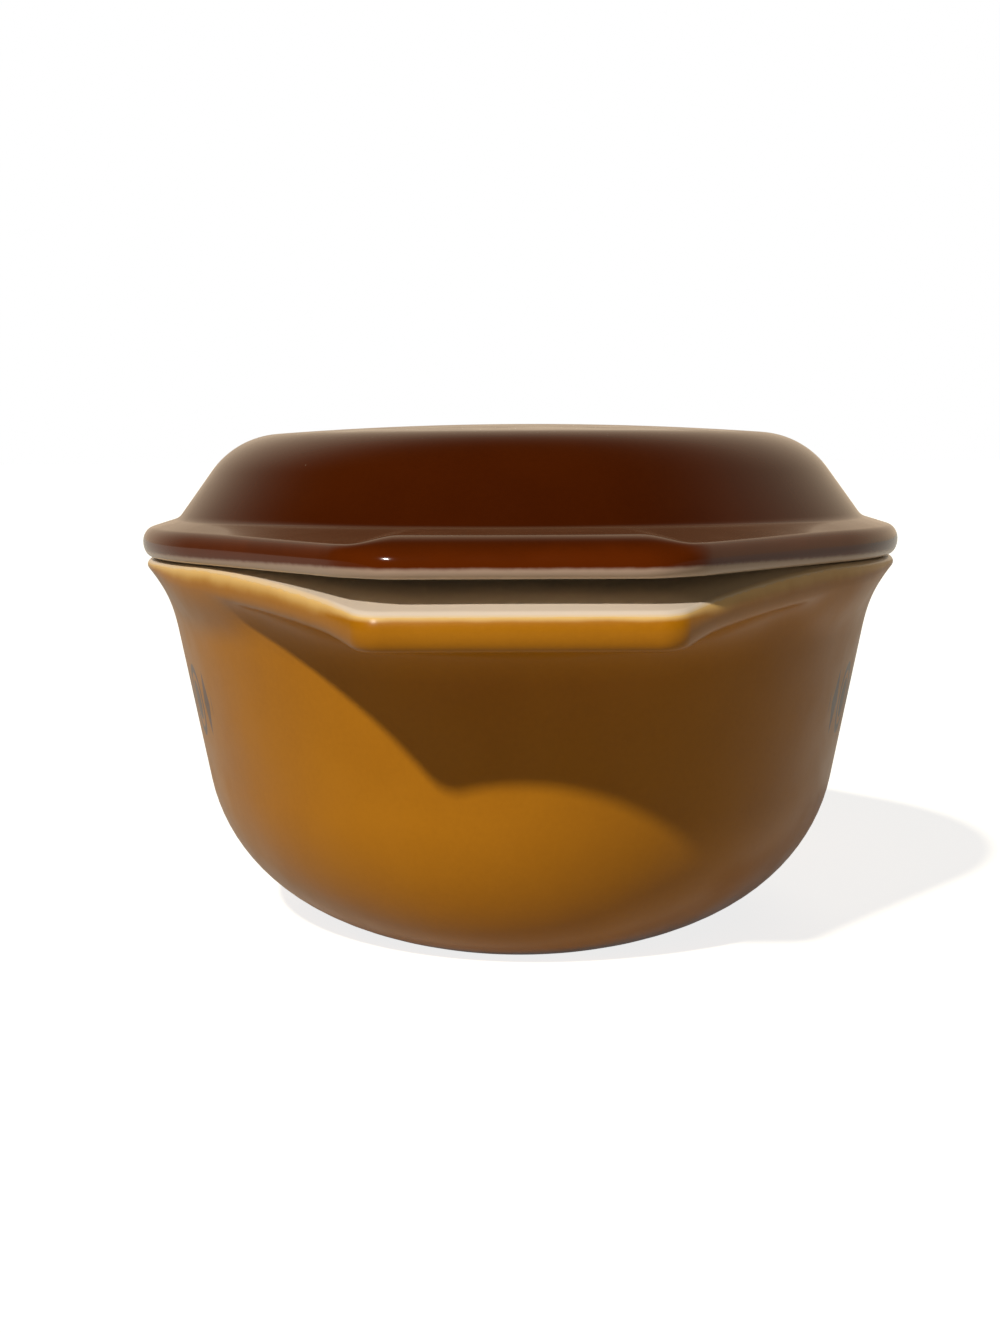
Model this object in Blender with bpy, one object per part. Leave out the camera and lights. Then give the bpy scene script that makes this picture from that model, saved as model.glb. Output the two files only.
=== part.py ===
"""Oval casserole in pressed opal glass: a dish with two tab handles, and a loose domed lid.

Frame: metres, +Z up, origin under the middle of the base. The dish is long in Y, with a handle at each
end, and the lid lifts straight up along Z.

Both pieces are lofts. Round the oval, each piece has the same stations (angles seen from above); at each
station a radial section gives the glass, and the matching points of all the sections make the rings.
"""
import math

import bmesh
import bpy
import numpy as np

MM = 0.001

# Dish: plan of the lip
RIM_WIDTH = 172 * MM
RIM_LENGTH = 226 * MM
HANDLE_REACH = 22 * MM          # how far a handle stands out beyond the lip's end
HANDLE_WIDTH = 59 * MM          # where the handle's edges would meet without their corner radius
HANDLE_CORNER = 6.5 * MM

# Dish: body
DISH_HEIGHT = 81 * MM
GLASS = 5.2 * MM
LIP_OVERHANG = 3.4 * MM         # lip beyond the wall's line, measured at the rim
SIDE_DRAFT = math.radians(11.7)
END_TAPER = 0.8                 # how much the ends lean in, for each unit that the sides lean in
BASE_RADIUS = 38 * MM
FOOT_WIDTH = 9 * MM
FOOT_RISE = 0.8 * MM            # recess inside the foot ring
FOOT_BEVEL = 3 * MM

# Dish: rim, lip and handle edge
SEAT_INSET = 4.8 * MM           # from the lip to the inner edge of the flat that carries the lid
SEAT_WIDTH = 2 * MM
MOUTH_DEPTH = 20 * MM           # depth at which the inside starts to flare
MOUTH_FLARE = math.radians(35)
LIP_FALL = 0.1 * MM             # top of the lip's edge below the rim
HANDLE_FALL = 5.5 * MM          # how much lower the edge runs along a handle's front
FALL_BEND = 1.66                # power by which the fall grows on the way there
LIP_EDGE = 3.0 * MM             # height of the edge at the sides
SHOULDER_EDGE = 6.6 * MM        # the same where the outline leaves the oval
HANDLE_EDGE = 7.8 * MM          # and along a handle's front
SHOULDER_GROWTH = 40 * MM       # length over which the edge grows to the shoulder's height
HANDLE_GROWTH = 14 * MM         # and from there to the handle's height
LIP_NOSE = 2.0 * MM
HANDLE_NOSE = 2.6 * MM
LIP_FLARE = 17 * MM             # depth at which the flare runs out into the wall, at the sides
HANDLE_FLARE = 21 * MM          # the same under a handle
LIP_TUCK = math.radians(30)     # how far round the edge turns under before the flare starts
HANDLE_TUCK = math.radians(85)  # the same along a handle
TUCK_GROWTH = 25 * MM           # length over which it turns further under, past the oval

# Lid
REST_GAP = 0.3 * MM             # lid seat above the dish's rim
LID_OVERHANG = 1 * MM           # lid flange beyond the dish's lip
LID_HANDLE_WIDTH = 62 * MM
LID_HANDLE_CORNER = 16 * MM
LID_GLASS = 4.8 * MM
LID_HEIGHT = 29.6 * MM          # crown of the dome above the seat
CROWN_RISE = 2.2 * MM
FLANGE_TOP = 8.4 * MM           # flange at the foot of the dome, above the seat
FLANGE_WIDTH = 8.2 * MM
FLANGE_EDGE = 6.6 * MM
FLANGE_NOSE = 2.8 * MM          # how far the top of its edge rounds off
LOWER_NOSE = 2.0 * MM           # and the bottom
FLANGE_FILLET = 1.2 * MM
SHOULDER_FALL = 0.45 * MM       # how much lower the flange's edge runs towards a tab
TAB_EDGE = 7.9 * MM             # top of the lid's tab above the seat
TAB_DROP = 0.2 * MM             # underside of the lid's tab below the seat
TAB_NOSE = 8 * MM               # how far back the tab's top starts to round down to its front
TAB_WAIST = 2 * MM              # height of the tab's foremost line above its underside
TAB_STEP = 2.8 * MM             # middle of the step up to the tab, inside the tab's corner point
TAB_BLEND = 9.2 * MM            # width of that step
DOME_ANGLE = math.radians(54.5)
SHOULDER_RADIUS = 20 * MM
RIDGE_CLEARANCE = 2.4 * MM
RIDGE_DEPTH = 3 * MM
RIDGE_WIDTH = 3 * MM
RIDGE_DRAFT = 1.2 * MM
SEAT_MARGIN = 0.7 * MM          # flat of the lid's underside past the dish's seat

# How finely the lofts are cut
SIDE_STEPS = 7
SHOULDER_STEPS = 5
CORNER_STEPS = 4
FRONT_STEPS = 2
ARC_STEPS = 6
EDGE_STEPS = 6
FLARE_STEPS = 5
CROWN_SHARES = (0.75, 0.5, 0.25)
SHARP_ANGLE = math.radians(38)

AMBER = (0.44, 0.16, 0.013, 1.0)
BROWN = (0.056, 0.0096, 0.0010, 1.0)
OPAL = (0.78, 0.70, 0.59, 1.0)


def clear_scene():
    """Empty the scene, so that a second run gives the same result."""
    for item in list(bpy.data.objects):
        bpy.data.objects.remove(item, do_unlink=True)


def glossy(name, colour, roughness):
    """Principled material of fired enamel or bare glass."""
    material = bpy.data.materials.new(name)
    material.use_nodes = True
    shader = material.node_tree.nodes["Principled BSDF"]
    shader.inputs["Base Color"].default_value = colour
    shader.inputs["Roughness"].default_value = roughness
    shader.inputs["Metallic"].default_value = 0.0
    material.diffuse_color = colour
    return material


def smooth(share):
    """Ease from 0 to 1 with level ends."""
    share = np.clip(share, 0, 1)
    return share * share * (3 - 2 * share)


def bezier(start, start_pull, end_pull, end, share):
    """Point of a cubic curve, where each argument is a pair of radius and height."""
    back = 1 - share
    weights = (back ** 3, 3 * back ** 2 * share, 3 * back * share ** 2, share ** 3)
    points = (start, start_pull, end_pull, end)
    radius = sum(w * p[0] for w, p in zip(weights, points))
    height = sum(w * p[1] for w, p in zip(weights, points))
    return radius, height


class Plan:
    """Oval outline with a straight-edged handle at each end, seen from above.

    Tangent lines run from the oval's sides to the handle's corners, which are rounded. `angles` are the
    stations round it, `edge` is the outline's radius at each, and `along` how far out it is along Y.
    `handle` eases from 0 where a tangent line leaves the oval to 1 along a handle's straight edge.
    """

    def __init__(self, half_width, half_length, handle_width, handle_y, corner):
        self.half_width = half_width
        self.half_length = half_length
        across = handle_width / 2 / half_width
        along = handle_y / half_length
        touch = math.atan2(along, across) - math.acos(1 / math.hypot(across, along))
        normal = np.array([math.cos(touch) / half_width, math.sin(touch) / half_length])
        side_distance = 1 / np.hypot(*normal)
        normal = normal * side_distance
        centre_y = handle_y - corner
        centre_x = (side_distance - corner - normal[1] * centre_y) / normal[0]
        centre = np.array([centre_x, centre_y])
        turn_start = centre + corner * normal

        touch_angle = math.atan2(half_length * math.sin(touch), half_width * math.cos(touch))
        start_angle = math.atan2(turn_start[1], turn_start[0])
        end_angle = math.atan2(handle_y, centre_x)
        quarter = np.concatenate([
            np.linspace(0, touch_angle, SIDE_STEPS, endpoint=False),
            np.linspace(touch_angle, start_angle, SHOULDER_STEPS, endpoint=False),
            np.linspace(start_angle, end_angle, CORNER_STEPS, endpoint=False),
            np.linspace(end_angle, math.pi / 2, FRONT_STEPS + 1),
        ])
        mirrored = (math.pi - quarter)[::-1]
        half = np.concatenate([quarter[:-1], mirrored[:-1]])
        self.angles = np.concatenate([half, half + math.pi])
        self.cos = np.cos(self.angles)
        self.sin = np.sin(self.angles)

        across, along = np.abs(self.cos), np.abs(self.sin)
        lean = np.arctan2(along, across)
        toward = across * centre[0] + along * centre[1]
        inside = np.maximum(toward ** 2 - centre @ centre + corner ** 2, 0)
        side_line = side_distance / (across * normal[0] + along * normal[1])
        front_line = handle_y / np.maximum(along, math.sin(touch_angle))
        round_corner = toward + np.sqrt(inside)
        oval = self.oval(half_width, half_length)
        margin = 1e-9
        self.edge = np.select(
            [lean < touch_angle - margin, lean < start_angle - margin, lean < end_angle - margin],
            [oval, side_line, round_corner], front_line)
        self.touch_y = half_length * math.sin(touch)
        self.handle_y = handle_y
        self.along = self.edge * along
        self.handle = smooth(self.share(self.touch_y, handle_y))

    def share(self, start, end):
        """Run from 0 to 1 while the outline goes from one distance along Y to another."""
        return np.clip((self.along - start) / (end - start), 0, 1)

    def oval(self, half_width, half_length):
        """Radius of an ellipse at each station."""
        return 1 / np.hypot(self.cos / half_width, self.sin / half_length)

    def inset(self, amount):
        """Radius of this plan's own oval, drawn in by an amount all round."""
        return self.oval(self.half_width - amount, self.half_length - amount)

    def level(self, height):
        """One height for every station."""
        return np.full(len(self.angles), height)


def rounded_edge(edge, waist, above, below, first, last):
    """Points down a rounded edge, from the angle first to the angle last.

    It is a quarter of an upright ellipse above its widest line, the waist, and another one below. Each of
    these is given as a pair of its depth and its height.
    """
    rings = []
    for share in np.linspace(0, 1, EDGE_STEPS + 1):
        turn = first + (last - first) * share
        depth = np.where(turn > 0, above[0], below[0])
        height = np.where(turn > 0, above[1], below[1])
        rings.append((edge - depth + depth * np.cos(turn), waist + height * np.sin(turn)))
    return rings


def loft(name, plan, bands, materials):
    """Skin the rings of each band in turn, and close the loft at its first and last ring.

    A band is a pair: the index of its material, and its rings as pairs of radius and height. The strip
    that joins two bands belongs to the later one.
    """
    mesh = bpy.data.meshes.new(name)
    for material in materials:
        mesh.materials.append(material)
    model = bmesh.new()
    previous = None
    for finish, rings in bands:
        for radius, height in rings:
            points = zip(radius * plan.cos, radius * plan.sin, height)
            ring = [model.verts.new(point) for point in points]
            if previous is None:
                strip = [model.faces.new(ring)]
            else:
                corners = zip(previous, previous[1:] + previous[:1], ring[1:] + ring[:1], ring)
                strip = [model.faces.new(four) for four in corners]
            for face in strip:
                face.material_index = finish
            previous = ring
    model.faces.new(previous).material_index = bands[-1][0]
    bmesh.ops.recalc_face_normals(model, faces=model.faces)
    model.to_mesh(mesh)
    model.free()
    mesh.shade_smooth()
    mesh.set_sharp_from_angle(angle=SHARP_ANGLE)
    piece = bpy.data.objects.new(name, mesh)
    bpy.context.collection.objects.link(piece)
    return piece


def wall_inset(height):
    """How far the outside wall's straight line lies inside the lip at a height."""
    return LIP_OVERHANG + (DISH_HEIGHT - height) * math.tan(SIDE_DRAFT)


FOOT_INSET = wall_inset(0) + BASE_RADIUS * math.tan((math.pi / 2 - SIDE_DRAFT) / 2)


def wall_oval(plan, inset, depth=0.0):
    """Oval of the wall at an inset from the lip, and at a depth into the glass."""
    return plan.oval(plan.half_width - inset - depth, plan.half_length - END_TAPER * inset - depth)


def base_corner(plan, depth):
    """Rings of the rounded base corner from the wall down, at a depth into the glass."""
    rings = []
    for turn in np.linspace(SIDE_DRAFT, math.pi / 2, ARC_STEPS + 1):
        inset = FOOT_INSET - BASE_RADIUS * math.cos(turn)
        radius = wall_oval(plan, inset, depth * math.cos(turn))
        height = BASE_RADIUS - (BASE_RADIUS - depth) * math.sin(turn)
        rings.append((radius, plan.level(height)))
    return rings


def mouth(plan):
    """Rings of the inside from the straight wall, through the flare, to the flat that carries the lid."""
    start_height = DISH_HEIGHT - MOUTH_DEPTH
    lean = np.array([math.sin(SIDE_DRAFT), math.cos(SIDE_DRAFT)])
    flare = np.array([math.sin(MOUTH_FLARE), math.cos(MOUTH_FLARE)])
    inset = wall_inset(start_height - GLASS * lean[0])
    start = (wall_oval(plan, inset, GLASS * lean[1]), plan.level(start_height))
    end = (plan.inset(SEAT_INSET), plan.level(DISH_HEIGHT))
    pull = MOUTH_DEPTH / 3
    start_pull = (start[0] + pull * lean[0], start[1] + pull * lean[1])
    end_pull = (end[0] - pull * flare[0], end[1] - pull * flare[1])
    rings = [bezier(start, start_pull, end_pull, end, share) for share in np.linspace(0, 1, FLARE_STEPS)]
    rings.append((plan.inset(SEAT_INSET - SEAT_WIDTH), plan.level(DISH_HEIGHT)))
    return rings


def lip_and_flare(plan):
    """Rings of the falling brim's rounded edge, and of the flare under it, down to the wall."""
    handle = plan.handle
    shoulder = smooth(plan.share(plan.touch_y - SHOULDER_GROWTH, plan.touch_y))
    front = smooth(plan.share(plan.handle_y - HANDLE_GROWTH, plan.handle_y))
    nose = LIP_NOSE + (HANDLE_NOSE - LIP_NOSE) * handle
    height = LIP_EDGE + (SHOULDER_EDGE - LIP_EDGE) * shoulder + (HANDLE_EDGE - SHOULDER_EDGE) * front
    half_height = height / 2
    fall = LIP_FALL + HANDLE_FALL * plan.share(plan.touch_y, plan.handle_y) ** FALL_BEND
    slope = fall / (plan.edge - nose - plan.inset(SEAT_INSET - SEAT_WIDTH))
    first = np.arctan2(half_height, nose * slope)
    tucked = smooth(plan.share(plan.touch_y, plan.touch_y + TUCK_GROWTH))
    last = -(LIP_TUCK + (HANDLE_TUCK - LIP_TUCK) * tucked)
    half_edge = (nose, half_height)
    edge = rounded_edge(plan.edge, DISH_HEIGHT - fall - half_height, half_edge, half_edge, first, last)

    start = edge[-1]
    heading = np.array([nose * np.sin(last), -half_height * np.cos(last)])
    heading = heading / np.hypot(*heading)
    end_height = DISH_HEIGHT - (LIP_FLARE + (HANDLE_FLARE - LIP_FLARE) * handle)
    end = (wall_oval(plan, wall_inset(end_height)), end_height)
    pull = 0.4 * np.hypot(end[0] - start[0], end[1] - start[1])
    start_pull = (start[0] + pull * heading[0], start[1] + pull * heading[1])
    end_pull = (end[0] + pull * math.sin(SIDE_DRAFT), end[1] + pull * math.cos(SIDE_DRAFT))
    shares = np.linspace(0, 1, FLARE_STEPS + 1)[1:]
    flare = [bezier(start, start_pull, end_pull, end, share) for share in shares]
    return edge, flare


def make_dish(enamel, glass):
    """Dish: bare glass inside and on top of the brim, enamel from the lip's edge down to the foot."""
    handle_y = RIM_LENGTH / 2 + HANDLE_REACH
    plan = Plan(RIM_WIDTH / 2, RIM_LENGTH / 2, HANDLE_WIDTH, handle_y, HANDLE_CORNER)
    edge, flare = lip_and_flare(plan)
    foot = [
        (wall_oval(plan, FOOT_INSET, FOOT_WIDTH), plan.level(0)),
        (wall_oval(plan, FOOT_INSET, FOOT_WIDTH + FOOT_BEVEL), plan.level(FOOT_RISE)),
    ]
    inside = base_corner(plan, GLASS)[::-1] + mouth(plan)
    outside = edge[1:] + flare + base_corner(plan, 0)
    bands = [(0, inside + edge[:1]), (1, outside), (0, foot)]
    return loft("dish", plan, bands, [glass, enamel])


def dome_rings(plan, depth):
    """Rings of the dome from its crown down to the foot of its wall, at a depth into the glass."""
    crown = LID_HEIGHT - CROWN_RISE
    wall_top = FLANGE_WIDTH + (crown - FLANGE_TOP) / math.tan(DOME_ANGLE)
    turn_inset = wall_top + SHOULDER_RADIUS * math.tan(DOME_ANGLE / 2)
    rings = []
    for share in reversed(CROWN_SHARES):
        radius = share * plan.inset(turn_inset)
        rings.append((radius, plan.level(crown + CROWN_RISE * (1 - share ** 2) - depth)))
    for turn in np.linspace(0, DOME_ANGLE, ARC_STEPS):
        inset = turn_inset - (SHOULDER_RADIUS - depth) * math.sin(turn)
        height = crown - SHOULDER_RADIUS + (SHOULDER_RADIUS - depth) * math.cos(turn)
        rings.append((plan.inset(inset), plan.level(height)))
    return rings


def flange_rings(plan):
    """Rings of the flange: fillet at the dome, rounded edge, and flat underside out to the seat."""
    from_step = LID_HANDLE_WIDTH / 2 - TAB_STEP - np.abs(plan.edge * plan.cos)
    tab = smooth(from_step / TAB_BLEND + 0.5) * (plan.handle > 0)
    shoulder = FLANGE_EDGE - SHOULDER_FALL * plan.handle
    top = shoulder + (TAB_EDGE - shoulder) * tab
    bottom = -TAB_DROP * tab
    waist = shoulder / 2 * (1 - tab) + (TAB_WAIST - TAB_DROP) * tab
    above = (FLANGE_NOSE + (TAB_NOSE - FLANGE_NOSE) * tab, top - waist)
    below = (LOWER_NOSE, waist - bottom)

    corner = (plan.inset(FLANGE_WIDTH), plan.level(FLANGE_TOP))
    crest = plan.edge - above[0]
    slope = (corner[1] - top) / (crest - corner[0])
    up_wall = plan.inset(FLANGE_WIDTH + FLANGE_FILLET * math.cos(DOME_ANGLE))
    wall_end = (up_wall, plan.level(FLANGE_TOP + FLANGE_FILLET * math.sin(DOME_ANGLE)))
    flange_start = (corner[0] + FLANGE_FILLET, corner[1] - FLANGE_FILLET * slope)
    fillet = [bezier(wall_end, corner, corner, flange_start, share) for share in (0, 0.5, 1)]

    first = np.arctan2(above[1], above[0] * np.maximum(slope, 0))
    edge = rounded_edge(plan.edge, waist, above, below, first, -math.pi / 2)
    seat_inset = LID_OVERHANG + SEAT_INSET - SEAT_WIDTH - SEAT_MARGIN
    seat_radius = np.minimum(plan.inset(seat_inset), plan.edge - LOWER_NOSE - SEAT_MARGIN / 2)
    return fillet, edge, (seat_radius, plan.level(0))


def ridge_rings(plan):
    """Rings of the locating ridge, and of the step from it to the inside of the dome's wall."""
    outer = LID_OVERHANG + SEAT_INSET + RIDGE_CLEARANCE
    inner = outer + RIDGE_DRAFT + RIDGE_WIDTH
    wall_depth = LID_GLASS / math.sin(DOME_ANGLE)
    join = FLANGE_TOP + (inner + RIDGE_DRAFT - FLANGE_WIDTH - wall_depth) * math.tan(DOME_ANGLE)
    return [
        (plan.inset(outer), plan.level(0)),
        (plan.inset(outer + RIDGE_DRAFT), plan.level(-RIDGE_DEPTH)),
        (plan.inset(inner), plan.level(-RIDGE_DEPTH)),
        (plan.inset(inner + RIDGE_DRAFT), plan.level(join)),
    ]


def make_lid(enamel, glass):
    """Lid: enamel over the top, bare glass under the edge and inside. Its origin is on its lift axis."""
    handle_y = RIM_LENGTH / 2 + HANDLE_REACH
    half_width = RIM_WIDTH / 2 + LID_OVERHANG
    half_length = RIM_LENGTH / 2 + LID_OVERHANG
    plan = Plan(half_width, half_length, LID_HANDLE_WIDTH, handle_y, LID_HANDLE_CORNER)
    fillet, edge, seat = flange_rings(plan)
    painted = EDGE_STEPS - 1
    top = dome_rings(plan, 0) + fillet + edge[:painted]
    under = edge[painted:] + [seat] + ridge_rings(plan) + dome_rings(plan, LID_GLASS)[::-1]
    lid = loft("lid", plan, [(1, top), (0, under)], [glass, enamel])
    lid.location = (0, 0, DISH_HEIGHT + REST_GAP)
    return lid


def main():
    clear_scene()
    glass = glossy("opal_glass", OPAL, 0.12)
    amber = glossy("amber_enamel", AMBER, 0.18)
    brown = glossy("brown_enamel", BROWN, 0.14)
    make_dish(amber, glass)
    make_lid(brown, glass)


main()
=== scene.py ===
# %% [markdown]
# # A lidded casserole in enamelled opal glass
#
# The real object is two pressings of opal glass, which is as white and opaque as milk: a deep oval dish with
# a tab handle at each end, and a domed lid that lifts straight off. The outside of each was sprayed with a
# coloured enamel and fired, amber on the dish and brown on the lid. Where no spray landed, on the brim,
# inside, and along the lid's lower edge, the white glass shows.
#
# The engineering model of the two pieces is loaded first, and it stays where it is. Each piece is then drawn
# again as one fine, smooth surface in the same place, painted with node materials, and lit.

# %% Load the frame
import math

import bpy
import numpy as np
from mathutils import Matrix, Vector


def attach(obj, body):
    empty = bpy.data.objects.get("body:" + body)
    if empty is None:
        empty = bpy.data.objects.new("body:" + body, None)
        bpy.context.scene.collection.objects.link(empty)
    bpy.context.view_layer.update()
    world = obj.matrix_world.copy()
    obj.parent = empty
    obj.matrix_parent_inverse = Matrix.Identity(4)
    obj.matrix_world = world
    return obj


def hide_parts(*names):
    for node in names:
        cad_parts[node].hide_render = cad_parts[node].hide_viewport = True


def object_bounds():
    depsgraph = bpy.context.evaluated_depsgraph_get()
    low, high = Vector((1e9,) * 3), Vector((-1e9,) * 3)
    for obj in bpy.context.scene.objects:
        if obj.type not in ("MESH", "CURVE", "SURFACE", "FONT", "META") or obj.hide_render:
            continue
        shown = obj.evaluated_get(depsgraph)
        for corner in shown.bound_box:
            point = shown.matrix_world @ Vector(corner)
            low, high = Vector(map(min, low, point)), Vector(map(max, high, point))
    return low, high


MM = 0.001

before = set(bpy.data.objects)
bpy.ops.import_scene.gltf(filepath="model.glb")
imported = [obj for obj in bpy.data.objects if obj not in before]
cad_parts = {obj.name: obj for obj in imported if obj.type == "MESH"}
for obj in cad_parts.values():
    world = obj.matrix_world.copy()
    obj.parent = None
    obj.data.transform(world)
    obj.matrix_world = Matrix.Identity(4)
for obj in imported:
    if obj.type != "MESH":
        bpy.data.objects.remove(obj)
cad_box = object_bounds()
cad_size = [round((high - low) / MM, 1) for low, high in zip(*cad_box)]
print("frame nodes:", sorted(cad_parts), "box in mm:", cad_size)

# %% [markdown]
# ## Camera
#
# The photograph looks at one handle straight on, from just above the level of the lid. Moving a camera by eye
# until the picture fits is slow. Here its place comes from the picture's perspective instead: the curve of
# the rim gives the height, and the size of the near handle against the body gives the distance. The lens is
# then one number, its focal length in pixels of the photograph, which Blender wants in millimetres. The
# camera turns a little to the left, so that the dish sits a little right of the middle, and it was held a
# quarter of a degree off level.

# %% Place the camera
FRAME_HEIGHT = 1333             # of the photograph, in pixels
FOCAL_LENGTH = 2500             # in the same pixels
SENSOR_HEIGHT = 36              # in millimetres
CAMERA_PLACE = (0.0, -0.588, 0.1037)
LOOK_DOWN = math.radians(4.84)
LOOK_LEFT = math.radians(0.447)
LOOK_ROLL = math.radians(0.25)

lens = bpy.data.cameras.new("camera")
lens.sensor_fit = "VERTICAL"
lens.sensor_height = SENSOR_HEIGHT
lens.lens = FOCAL_LENGTH / FRAME_HEIGHT * SENSOR_HEIGHT
camera = bpy.data.objects.new("camera", lens)
camera.location = CAMERA_PLACE
camera.rotation_euler = (math.pi / 2 - LOOK_DOWN, LOOK_ROLL, LOOK_LEFT)
bpy.context.scene.collection.objects.link(camera)
bpy.context.scene.camera = camera
print("camera: lens", round(lens.lens, 1), "mm, distance", round(-CAMERA_PLACE[1] / MM), "mm")

# %% [markdown]
# ## The rim seen from above
#
# Seen from above, both pieces are an oval with a straight-fronted tab at each end. The outline could be drawn
# as a curve object with handles pulled by hand. It is worked out instead: at each station, an angle round
# the centre, it has one radius. An ellipse makes the sides. A straight line leaves the ellipse at a tangent
# and runs to the tab's corner, an arc rounds the corner, and the tab's front is straight. Because every ring
# of a piece uses the same stations, rings can be joined point to point.

# %% Outline of an oval rim with two tabs
SIDE_STEPS, SHOULDER_STEPS, CORNER_STEPS, FRONT_STEPS = 26, 20, 14, 10


def ease(share):
    """Run from 0 to 1 with level ends: 3 times the share squared, less twice its cube."""
    share = np.clip(share, 0, 1)
    return share * share * (3 - 2 * share)


class Rim:
    """Outline seen from above: `edge` is the radius at each station, and `along` how far out it is along Y.

    `tab` eases from 0 where the straight line leaves the ellipse to 1 along the tab's front.
    """

    def __init__(self, half_width, half_length, tab_width, tab_y, corner):
        self.half_width, self.half_length = half_width, half_length
        across, along = tab_width / 2 / half_width, tab_y / half_length
        touch = math.atan2(along, across) - math.acos(1 / math.hypot(across, along))
        normal = np.array([math.cos(touch) / half_width, math.sin(touch) / half_length])
        line_distance = 1 / np.hypot(*normal)
        normal = normal * line_distance
        centre_y = tab_y - corner
        centre_x = (line_distance - corner - normal[1] * centre_y) / normal[0]
        centre = np.array([centre_x, centre_y])
        turn_start = centre + corner * normal

        touch_angle = math.atan2(half_length * math.sin(touch), half_width * math.cos(touch))
        start_angle = math.atan2(turn_start[1], turn_start[0])
        end_angle = math.atan2(tab_y, centre_x)
        quarter = np.concatenate([
            np.linspace(0, touch_angle, SIDE_STEPS, endpoint=False),
            np.linspace(touch_angle, start_angle, SHOULDER_STEPS, endpoint=False),
            np.linspace(start_angle, end_angle, CORNER_STEPS, endpoint=False),
            np.linspace(end_angle, math.pi / 2, FRONT_STEPS + 1),
        ])
        half_turn = np.concatenate([quarter[:-1], (math.pi - quarter)[:0:-1]])
        self.angles = np.concatenate([half_turn, half_turn + math.pi])
        self.cos, self.sin = np.cos(self.angles), np.sin(self.angles)

        across, along = np.abs(self.cos), np.abs(self.sin)
        self.lean = np.arctan2(along, across)
        toward = across * centre[0] + along * centre[1]
        corner_arc = toward + np.sqrt(np.maximum(toward ** 2 - centre @ centre + corner ** 2, 0))
        straight = line_distance / (across * normal[0] + along * normal[1])
        front = tab_y / np.maximum(along, math.sin(touch_angle))
        margin = 1e-9
        self.edge = np.select(
            [self.lean < touch_angle - margin, self.lean < start_angle - margin,
             self.lean < end_angle - margin],
            [self.oval(0, 0), straight, corner_arc], front)
        self.along = self.edge * along
        self.touch_y = half_length * math.sin(touch)
        self.tab = ease(self.share(self.touch_y, tab_y))

    def share(self, start, end):
        """Run from 0 to 1 while the outline goes from one distance along Y to another."""
        return np.clip((self.along - start) / (end - start), 0, 1)

    def oval(self, side_inset, end_inset):
        """Radius of an ellipse: one over the hypotenuse of cosine / half width and sine / half length."""
        across, along = self.half_width - side_inset, self.half_length - end_inset
        return 1 / np.hypot(self.cos / across, self.sin / along)

    def inset(self, amount):
        """Radius of the ellipse drawn in by the same amount all round."""
        return self.oval(amount, amount)


RIM_WIDTH, RIM_LENGTH = 172 * MM, 226 * MM
TAB_REACH = 21.98 * MM          # of a tab's front beyond the oval
TAB_Y = RIM_LENGTH / 2 + TAB_REACH
DISH_TAB_WIDTH, DISH_TAB_CORNER = 59 * MM, 6.5 * MM
LID_TAB_WIDTH, LID_TAB_CORNER = 62 * MM, 16 * MM
LID_OVERHANG = 0.97 * MM        # the lid stands out this far beyond the dish's lip
LID_WIDTH, LID_LENGTH = RIM_WIDTH + 2 * LID_OVERHANG, RIM_LENGTH + 2 * LID_OVERHANG

dish_rim = Rim(RIM_WIDTH / 2, RIM_LENGTH / 2, DISH_TAB_WIDTH, TAB_Y, DISH_TAB_CORNER)
lid_rim = Rim(LID_WIDTH / 2, LID_LENGTH / 2, LID_TAB_WIDTH, TAB_Y, LID_TAB_CORNER)
print("stations round each rim:", len(dish_rim.angles))

# %% [markdown]
# ## Rings, curves and skins
#
# A pressed piece has the same kind of section all the way round, so each section is a chain of a few short
# parts: straight runs, rounded corners and curves. At every station the same part has its own sizes, which
# lets the lip swell into a tab without a seam. All stations are worked out at once: a ring is an array of
# radii over an array of heights, and a curve between rings is a stack of rings.

# %% Parts of a section
def rings(radius, height):
    """Put the radii and the heights of one ring, or of a stack of rings, into one array."""
    return np.stack(np.broadcast_arrays(radius, height), axis=-2)


def shares(steps):
    """Even steps from 0 to 1, shaped to multiply whole rings."""
    return np.linspace(0, 1, steps + 1)[:, None, None]


def run(start, end, steps):
    """Straight run between two rings, with the rings closer together at both ends, as a cosine runs."""
    share = (1 - np.cos(np.pi * shares(steps))) / 2
    return start + (end - start) * share


def round_off(start, corner, end, steps):
    """Rounded corner: the mean of three rings, weighted (1-t) squared, 2t(1-t) and t squared."""
    t = shares(steps)
    return (1 - t) ** 2 * start + 2 * t * (1 - t) * corner + t ** 2 * end


def sweep(start, start_pull, end_pull, end, steps):
    """Smooth curve: the mean of four rings, weighted (1-t)^3, 3t(1-t)^2, 3t^2(1-t) and t^3."""
    t = shares(steps)
    near = (1 - t) ** 2 * ((1 - t) * start + 3 * t * start_pull)
    far = t ** 2 * (3 * (1 - t) * end_pull + t * end)
    return near + far


def towards(corner, target, reach):
    """Ring at a distance from a corner ring, on the straight way to a target ring."""
    way = target - corner
    return corner + reach * way / np.hypot(way[0], way[1])


def rounded_chain(corners, reach, run_steps, round_steps):
    """Straight runs from corner to corner, with each corner between two runs rounded off."""
    parts = []
    start = corners[0]
    for before, corner, after in zip(corners, corners[1:], corners[2:]):
        entry, leave = towards(corner, before, reach), towards(corner, after, reach)
        parts.append(run(start, entry, run_steps))
        parts.append(round_off(entry, corner, leave, round_steps))
        start = leave
    parts.append(run(start, corners[-1], run_steps))
    return chain(parts)


def chain(parts):
    """Join stacks of rings end to end. Each stack starts on the ring that the one before it ends on."""
    return np.concatenate([parts[0]] + [part[1:] for part in parts[1:]])


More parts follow.
